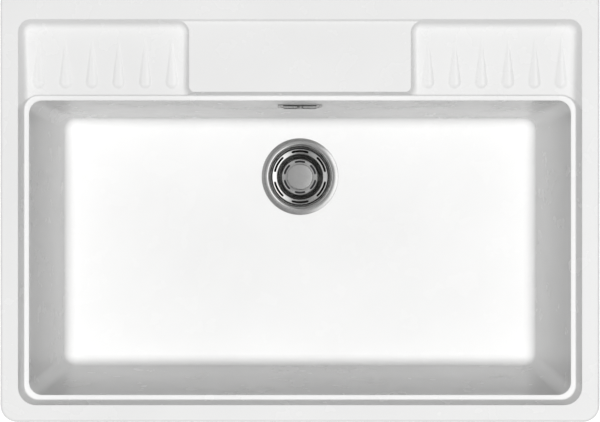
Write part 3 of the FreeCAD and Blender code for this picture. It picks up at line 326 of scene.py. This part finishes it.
def soften(shape, corner=CASTING_CORNER):
    """Smooth faces, with sharp edges where two faces meet at more than a corner's angle."""
    for face in shape.faces:
        face.smooth = True
    for edge in shape.edges:
        edge.smooth = edge.is_manifold and edge.calc_face_angle(0) < corner


def even_shading(piece):
    """Let large flat faces rule the shading, so that they stay flat beside their roundings."""
    weigh = piece.modifiers.new("even_shading", "WEIGHTED_NORMAL")
    weigh.keep_sharp = True
    weigh.weight = 80


def merged(node):
    """A merged copy of a CAD node's mesh."""
    shape = bmesh.new()
    shape.from_mesh(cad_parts[node].data)
    for layer in list(shape.loops.layers.float_vector.values()):
        shape.loops.layers.float_vector.remove(layer)
    bmesh.ops.remove_doubles(shape, verts=shape.verts, dist=0.002 * MM)
    return shape


def carried(node, body, slot, material):
    """The CAD node's own form, merged and smoothed."""
    shape = merged(node)
    soften(shape)
    piece = finished(node + "_skin", shape, body, slot, [node], material)
    even_shading(piece)


def is_underside(face):
    """True on the unglazed faces: the foot and the inside of the skirt's hollow."""
    centre = face.calc_center_median()
    half_wall = CERAMIC_WALL / 2
    if face.normal.z < -0.9:
        return True
    if centre.z > LEDGE_Z - CERAMIC_WALL:
        return False
    in_skirt = (abs(centre.x) > SINK_HIGH.x - half_wall
                or centre.y < SINK_LOW.y + half_wall
                or centre.y > SINK_HIGH.y - half_wall)
    if in_skirt:
        return False
    fall = (LEDGE_Z - centre.z) / (LEDGE_Z - FLOOR_Z)
    side, front, rear = BOWL_EDGE
    inside = (abs(centre.x) < side + half_wall - BOWL_LEAN[0] * fall
              and front - half_wall + BOWL_LEAN[1] * fall < centre.y
              and centre.y < rear + half_wall - BOWL_LEAN[2] * fall
              and centre.z > FLOOR_Z - half_wall)
    return not inside


def sink_body():
    """The casting, glazed outside and in the bowl, raw clay below."""
    shape = merged("sink_body")
    for face in shape.faces:
        face.material_index = 1 if is_underside(face) else 0
    soften(shape)
    piece = finished("ceramic_casting", shape, "sink", "glazed_ceramic", ["sink_body"], GLAZE, CLAY)
    even_shading(piece)


def rounded(outline, closed=True, steps=6):
    """Points of an outline of (radius, height, bend) corners, each corner rounded by its bend."""
    points = []
    last = len(outline) - 1
    for index, (across, up, bend) in enumerate(outline):
        here = Vector((across, up))
        if not bend or (not closed and index in (0, last)):
            points.append(here)
            continue
        back = (Vector(outline[index - 1][:2]) - here).normalized()
        ahead = (Vector(outline[(index + 1) % len(outline)][:2]) - here).normalized()
        half = back.angle(ahead) / 2
        centre = here + (back + ahead).normalized() * (bend / math.sin(half))
        first = here + back * (bend / math.tan(half)) - centre
        turn = math.pi - 2 * half
        if back.x * ahead.y - back.y * ahead.x > 0:
            turn = -turn
        for step in range(steps + 1):
            angle = turn * step / steps
            spot = Vector((first.x * math.cos(angle) - first.y * math.sin(angle),
                           first.x * math.sin(angle) + first.y * math.cos(angle)))
            points.append(centre + spot)
    return points


def turned(outline):
    """Spin a closed outline round the drain's axis, its heights measured from the bowl's floor."""
    shape = bmesh.new()
    corners = [shape.verts.new((spot.x * MM, 0, spot.y * MM)) for spot in rounded(outline)]
    for here, there in zip(corners, corners[1:] + corners[:1]):
        if here.co.x > 0 or there.co.x > 0:
            shape.edges.new((here, there))
    bmesh.ops.spin(shape, geom=shape.verts[:] + shape.edges[:], cent=(0, 0, 0), axis=(0, 0, 1),
                   dvec=(0, 0, 0), angle=math.tau, steps=ROUND_STEPS, use_merge=True)
    bmesh.ops.remove_doubles(shape, verts=shape.verts, dist=0.001 * MM)
    bmesh.ops.recalc_face_normals(shape, faces=shape.faces)
    bmesh.ops.translate(shape, verts=shape.verts, vec=DRAIN)
    soften(shape)
    return shape


def polar(radius, degrees, height):
    """A point round the axis, its radius and height in millimetres."""
    angle = math.radians(degrees)
    return Vector((radius * math.cos(angle), radius * math.sin(angle), height)) * MM


def spun_skin(shape, path, columns):
    """A skin of rings along an open path, with one column of corners per angle."""
    rings = [[shape.verts.new(polar(spot.x, degrees, spot.y)) for degrees in columns] for spot in path]
    for outer, inner in zip(rings, rings[1:]):
        for index in range(len(columns)):
            beside = (index + 1) % len(columns)
            shape.faces.new((outer[index], outer[beside], inner[beside], inner[index]))
    return rings


def pierced_disc(shape, rim, holes, height):
    """Fill a flat disc inside its rim's corners, leaving out holes given as loops of points."""
    edges = []
    for loop in holes:
        corners = [shape.verts.new((*point[:2], height * MM)) for point in loop]
        edges += [shape.edges.new(pair) for pair in zip(corners, corners[1:] + corners[:1])]
    edges += [shape.edges.get(pair) for pair in zip(rim, rim[1:] + rim[:1])]
    bmesh.ops.triangle_fill(shape, edges=edges, use_beauty=True, normal=(0, 0, 1))


def round_hole(radius, across=0.0, degrees=0.0):
    """Outline of a round hole, its middle some way across from the axis."""
    middle = polar(across, degrees, 0)
    return [middle + polar(radius, 360 * step / HOLE_STEPS, 0) for step in range(HOLE_STEPS)]


def arc_slot(radius, width, sweep, degrees):
    """Outline of a slot bent round the axis, with round ends."""
    half = width / 2
    reach = sweep / 2 - math.degrees(half / radius)
    points = []
    for side in (1, -1):
        for step in range(SLOT_STEPS + 1):
            angle = degrees + side * reach * (2 * step / SLOT_STEPS - 1)
            points.append(polar(radius + side * half, angle, 0))
        middle = degrees + side * reach
        for step in range(1, SLOT_END_STEPS):
            turn = middle + 180 * step / SLOT_END_STEPS + (0 if side > 0 else 180)
            points.append(polar(radius, middle, 0) + polar(half, turn, 0))
    return points


def sheet_piece(name, shape, body, slot, replaced, thick, material):
    """Give a skin its sheet's thickness on the side away from its upper face."""
    bmesh.ops.remove_doubles(shape, verts=shape.verts, dist=0.002 * MM)
    bmesh.ops.recalc_face_normals(shape, faces=shape.faces)
    topmost = max(shape.faces, key=lambda face: face.calc_center_median().z + abs(face.normal.z))
    if topmost.normal.z < 0:
        bmesh.ops.reverse_faces(shape, faces=shape.faces)
    bmesh.ops.translate(shape, verts=shape.verts, vec=DRAIN)
    soften(shape, SHEET_CORNER)
    piece = finished(name, shape, body, slot, replaced, material)
    wall = piece.modifiers.new("sheet", "SOLIDIFY")
    wall.thickness = thick * MM
    wall.offset = -1
    wall.use_even_offset = True
    even_shading(piece)


def strainer_cup():
    """Pressed cup: a faintly domed flange, a soft shoulder, the cone, the seat and the pierced dish."""
    flange, bore, seat = 56.95, 41.5, 31
    seat_height, dish_height = -41, -49
    path = rounded([
        (flange, 0.1, 0), (flange, 1.2, 0.9), (52, 2.05, 14), (45.4, 1.9, 5),
        (41.9, -11.4, 3), (bore, -14, 2), (bore, seat_height, 2.5),
        (seat, seat_height, 1.6), (seat, dish_height, 3), (26, dish_height, 0),
    ], closed=False)
    shape = bmesh.new()
    rings = spun_skin(shape, path, [360 * step / ROUND_STEPS for step in range(ROUND_STEPS)])
    water_holes = [round_hole(5.5, 19, 60 * index) for index in range(6)]
    screw_hole = round_hole(4.2)
    pierced_disc(shape, rings[-1], water_holes + [screw_hole], dish_height)
    sheet_piece("pressed_cup", shape, "sink", "stainless", ["strainer_cup"], 1, CUP_STEEL)


def basket():
    """Thin pressed basket, its rim and its floor pierced by round-ended slots."""
    edge, edge_height, slope, floor_height = 41.4, -9.75, 0.28, -26
    slot_radius, half_width, sweep = 38.1, 1.65, 39
    slot_turns = [30 + 60 * index for index in range(6)]
    slot_shares = (1, 0.7, 0, -0.7, -1)
    between_slots = (21.6, 26, 34, 38.4)
    straight = sweep / 2 - math.degrees(half_width / slot_radius)
    columns, slot_starts = [], []
    for turn in slot_turns:
        slot_starts.append(len(columns))
        columns += [turn + straight * (2 * step / SLOT_STEPS - 1) for step in range(SLOT_STEPS + 1)]
        columns += [turn + past for past in between_slots]

    def on_rim(radius, bend=0):
        return radius, edge_height - (edge - radius) * slope, bend

    path = rounded([(edge, -10.5, 0), (edge, edge_height, 0.5), on_rim(39.9)], closed=False, steps=4)
    first_slot = len(path)
    last_slot = first_slot + len(slot_shares) - 1
    path += [Vector(on_rim(slot_radius + half_width * share)[:2]) for share in slot_shares]
    path += rounded([
        on_rim(36.4), on_rim(34.3, 1.8), (27, floor_height, 2), (25.3, floor_height, 0),
    ], closed=False)
    shape = bmesh.new()
    rings = spun_skin(shape, path, columns)
    for station, share in enumerate(slot_shares, first_slot):
        reach = straight + math.degrees(half_width * math.sqrt(1 - share * share) / slot_radius)
        spot = path[station]
        for turn, first in zip(slot_turns, slot_starts):
            rings[station][first].co = polar(spot.x, turn - reach, spot.y)
            rings[station][first + SLOT_STEPS].co = polar(spot.x, turn + reach, spot.y)
    slots = []
    for outer, inner in zip(rings[first_slot:last_slot], rings[first_slot + 1:]):
        for first in slot_starts:
            for index in range(first, first + SLOT_STEPS):
                corners = {outer[index], inner[index + 1]}
                slots += [face for face in outer[index].link_faces if corners <= set(face.verts)]
    bmesh.ops.delete(shape, geom=slots, context="FACES")
    floor_slots = [arc_slot(23.4, 3.1, sweep, turn) for turn in slot_turns]
    screw_hole = round_hole(2.7)
    pierced_disc(shape, rings[-1], floor_slots + [screw_hole], floor_height)
    sheet_piece("pressed_basket", shape, "basket", "stainless", ["basket"], 0.8, BASKET_STEEL)


def knob():
    """Flat turned knob on its neck."""
    head, neck, top, foot = 19.3, 7, -11, -26
    shape = turned([
        (0, top, 0), (18.4, -11.1, 0.8), (head, -12, 1), (head, -15, 0.8),
        (neck, -15.2, 2.4), (neck, foot, 0), (0, foot, 0),
    ])
    finished("turned_knob", shape, "basket", "knob_steel", ["basket_knob"], KNOB_STEEL)


def waste_body():
    """The moulded funnel, its outlet cut back to the thread's root."""
    shape = merged("waste_body")
    for corner in shape.verts:
        arm = corner.co - DRAIN
        arm.z = 0
        on_thread = abs(arm.length - THREAD_CREST) < 0.4 * MM
        if on_thread and corner.co.z < FLOOR_Z - 63 * MM:
            corner.co -= arm * (1 - THREAD_ROOT / arm.length)
    soften(shape)
    piece = finished("funnel", shape, "sink", "waste_plastic", ["waste_body"], WASTE_PLASTIC)
    even_shading(piece)


def outlet_thread():
    """The outlet's thread: one ridge wound round it from end to end, its ends fading out."""
    pitch, top, bottom = 2.31 * MM, -65 * MM, -88.6 * MM
    steps_in_turn, steps_to_fade = 48, 20
    count = int((top - bottom) / pitch * steps_in_turn)
    sunk_root = THREAD_ROOT - 0.1 * MM
    shape = bmesh.new()
    rows = []
    for step in range(count + 1):
        angle = math.tau * step / steps_in_turn
        around = Vector((math.cos(angle), math.sin(angle), 0))
        middle = top - pitch * step / steps_in_turn
        fade = max(0.05, min(1, step / steps_to_fade, (count - step) / steps_to_fade))
        crest = sunk_root + (THREAD_CREST - sunk_root) * fade
        ridge = ((sunk_root, 0.46), (crest, 0.12), (crest, -0.12), (sunk_root, -0.46))
        rows.append([shape.verts.new(DRAIN + around * radius + Vector((0, 0, middle + pitch * share)))
                     for radius, share in ridge])
    for here, there in zip(rows, rows[1:]):
        for index in range(len(here)):
            beside = (index + 1) % len(here)
            shape.faces.new((here[index], here[beside], there[beside], there[index]))
    shape.faces.new(rows[0])
    shape.faces.new(rows[-1][::-1])
    bmesh.ops.recalc_face_normals(shape, faces=shape.faces)
    soften(shape)
    finished("outlet_thread", shape, "sink", "waste_plastic", [], WASTE_PLASTIC)


def hose_rings():
    """Centres, directions and radii of the hose's rings, from its upper union to the lower one."""
    tube, tube_length, last_run, rib_pitch = 8.5 * MM, 9 * MM, 20.4 * MM, 3.3 * MM
    rib = ((0.12, 8.6), (0.3, 9.9), (0.42, 10.2), (0.62, 10.2), (0.74, 9.9), (0.92, 8.6))
    lean = math.atan(BOWL_LEAN[2] / (LEDGE_Z - FLOOR_Z))
    down = Vector((0, -math.sin(lean), -math.cos(lean)))
    low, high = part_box("hose_seal_upper")
    start = (low + high) / 2 + down * MM
    low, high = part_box("hose_seal_lower")
    end = Vector((0, high.y, (low.z + high.z) / 2))
    drop = (end.z - start.z) / down.z
    corner = start + down * drop
    turn = math.pi / 2 - lean
    reach = (corner - end).length - last_run
    bend_radius = reach / math.tan(turn / 2)
    first_run, bend = drop - reach, bend_radius * turn
    length = first_run + bend + last_run
    bend_start = start + down * first_run
    centre = bend_start + Vector((0, down.z, -down.y)) * bend_radius
    ribs = round((length - 2 * tube_length) / rib_pitch)
    pitch = (length - 2 * tube_length) / ribs
    plain_end = [(0, HOSE_COLLAR), (1.8 * MM, HOSE_COLLAR), (2 * MM, tube), (tube_length, tube)]
    spans = plain_end + [(tube_length + pitch * (index + share), radius * MM)
                         for index in range(ribs) for share, radius in rib]
    spans += [(length - distance, radius) for distance, radius in reversed(plain_end)]
    for distance, radius in spans:
        angle = min(max(distance - first_run, 0), bend) / bend_radius
        swing = Matrix.Rotation(-angle, 3, "X")
        if distance <= first_run:
            yield start + down * distance, down, radius
        else:
            along = swing @ down
            spot = centre + swing @ (bend_start - centre) + along * max(distance - first_run - bend, 0)
            yield spot, along, radius


def hose():
    """Corrugated hose with a collar at each end and its bore."""
    shape = bmesh.new()
    across = Vector((1, 0, 0))
    steps, wall, widest_bore, collar_bore = 36, 1.3 * MM, 8.6 * MM, 6.8 * MM

    def ring(centre, along, radius):
        side = along.cross(across)
        return [shape.verts.new(centre + (across * math.cos(angle) + side * math.sin(angle)) * radius)
                for angle in (math.tau * step / steps for step in range(steps))]

    def bore(radius):
        return collar_bore if radius == HOSE_COLLAR else min(radius - wall, widest_bore)

    places = list(hose_rings())
    outside = [ring(*place) for place in places]
    inside = [ring(centre, along, bore(radius)) for centre, along, radius in places]
    rows = outside + inside[::-1]
    for here, there in zip(rows, rows[1:] + rows[:1]):
        for index in range(steps):
            beside = (index + 1) % steps
            shape.faces.new((here[index], here[beside], there[beside], there[index]))
    bmesh.ops.recalc_face_normals(shape, faces=shape.faces)
    soften(shape, HOSE_CORNER)
    finished("corrugated_hose", shape, "sink", "hose_plastic", ["overflow_hose"], HOSE_PLASTIC)


sink_body()
strainer_cup()
waste_body()
outlet_thread()
hose()
basket()
knob()

for node, slot, material in (
    ("flange_seal", "rubber", RUBBER),
    ("lower_seal", "rubber", RUBBER),
    ("clamp_screw", "screw_steel", SCREW_STEEL),
    ("insert_nut", "brass", BRASS),
    ("overflow_cover", "stainless", COVER_STEEL),
    ("overflow_screw", "screw_steel", SCREW_STEEL),
    ("overflow_insert", "brass", BRASS),
    ("overflow_seal", "rubber", RUBBER),
    ("overflow_housing", "waste_plastic", WASTE_PLASTIC),
    ("hose_nut_upper", "nut_plastic", NUT_PLASTIC),
    ("hose_nut_lower", "nut_plastic", NUT_PLASTIC),
    ("hose_seal_upper", "rubber", RUBBER),
    ("hose_seal_lower", "rubber", RUBBER),
):
    carried(node, "sink", slot, material)
for node, slot, material in (
    ("stopper_plate", "stopper_plastic", STOPPER_PLASTIC),
    ("stopper_seal", "rubber", RUBBER),
    ("knob_screw", "screw_steel", SCREW_STEEL),
):
    carried(node, "basket", slot, material)


# ------------------------------------------------------------------ studio

def studio_floor():
    """A pale paper floor under the sink that the camera sees a little brighter than it is lit."""
    floor = bmesh.new()
    bmesh.ops.create_grid(floor, x_segments=1, y_segments=1, size=4)
    bmesh.ops.translate(floor, verts=floor.verts, vec=(0, DRAIN.y, CAD_BOX[0].z - 1 * MM))
    mesh = bpy.data.meshes.new("studio_floor")
    floor.to_mesh(mesh)
    floor.free()
    paper = Finish("studio_paper", (0.9, 0.9, 0.9), 0.9)
    seen = paper.node("LightPath")
    glow = paper.node("Emission")
    glow.inputs["Strength"].default_value = 0.2
    both = paper.node("AddShader")
    choose = paper.node("MixShader")
    end = paper.tree.nodes["Material Output"].inputs["Surface"]
    paper.join(paper.shader.outputs[0], both.inputs[0])
    paper.join(glow.outputs[0], both.inputs[1])
    paper.join(seen.outputs["Is Camera Ray"], choose.inputs["Fac"])
    paper.join(paper.shader.outputs[0], choose.inputs[1])
    paper.join(both.outputs[0], choose.inputs[2])
    paper.join(choose.outputs[0], end)
    mesh.materials.append(paper.material)
    ground = bpy.data.objects.new("studio_floor", mesh)
    bpy.context.scene.collection.objects.link(ground)


def overhead_lamp():
    """A broad soft lamp far above the sink, a little to its front."""
    light = bpy.data.lights.new("overhead", "AREA")
    light.shape = "RECTANGLE"
    light.size, light.size_y = 2.2, 2
    light.energy = LAMP_WATTS
    lamp = bpy.data.objects.new("overhead", light)
    lamp.location = LAMP_PLACE
    lamp.visible_glossy = False
    lamp.visible_camera = False
    bpy.context.scene.collection.objects.link(lamp)


class Air(Nodes):
    """The air round the sink, with levels over a direction's share."""

    def levels(self, share, stops):
        """Brightness over a share, given as stops of (place, level) with levels up to 2."""
        most = 2
        ramp = self.node("ValToRGB")
        elements = ramp.color_ramp.elements
        for index, (place, level) in enumerate(stops):
            stop = elements[index] if index < 2 else elements.new(place)
            stop.position = place
            stop.color = (level / most, level / most, level / most, 1)
        self.join(share, ramp.inputs["Fac"])
        return self.spread(ramp.outputs["Color"], 0, most)


def studio_air():
    """White to the camera and faint as light; what shines sees a grey zenith between bright sides."""
    world = bpy.data.worlds.new("studio_air")
    world.use_nodes = True
    bpy.context.scene.world = world
    air = Air(world.node_tree)
    sky = world.node_tree.nodes["Background"]
    sky.inputs["Color"].default_value = (1, 1, 1, 1)
    rays = air.node("LightPath").outputs
    direction = air.parted(air.node("TexCoord").outputs["Generated"])
    across = air.spread(direction["X"], 0, 1, -1, 1)
    zenith = air.combine("MULTIPLY",
                         air.levels(direction["Z"], [(0.7, 0.1), (0.88, 0.2), (0.95, 1)]),
                         air.levels(across, [(0.36, 0.2), (0.47, 0.5), (0.53, 0.62), (0.62, 1.4)]))
    sides = air.combine("MULTIPLY",
                        air.levels(direction["Z"], [(0.66, 0), (0.74, 1), (0.89, 1), (0.95, 0)]),
                        air.levels(across, [(0.2, 1.2), (0.3, 1), (0.42, 0.2), (0.56, 0.2), (0.66, 2)]))
    shine = air.combine("ADD", zenith, sides)
    lit = air.spread(rays["Is Glossy Ray"], 0.02, shine)
    air.join(air.spread(rays["Is Camera Ray"], lit, 1), sky.inputs["Strength"])


def camera_above():
    """A camera straight above the sink's middle, as in the photograph."""
    view = bpy.data.cameras.new("view")
    view.sensor_width = 36
    view.lens = 76
    camera = bpy.data.objects.new("view", view)
    camera.location = (0, (SINK_LOW.y + SINK_HIGH.y) / 2, RIM_Z + CAMERA_HEIGHT)
    bpy.context.scene.collection.objects.link(camera)
    bpy.context.scene.camera = camera
    bpy.context.scene.view_settings.view_transform = "Standard"


studio_floor()
overhead_lamp()
studio_air()
camera_above()
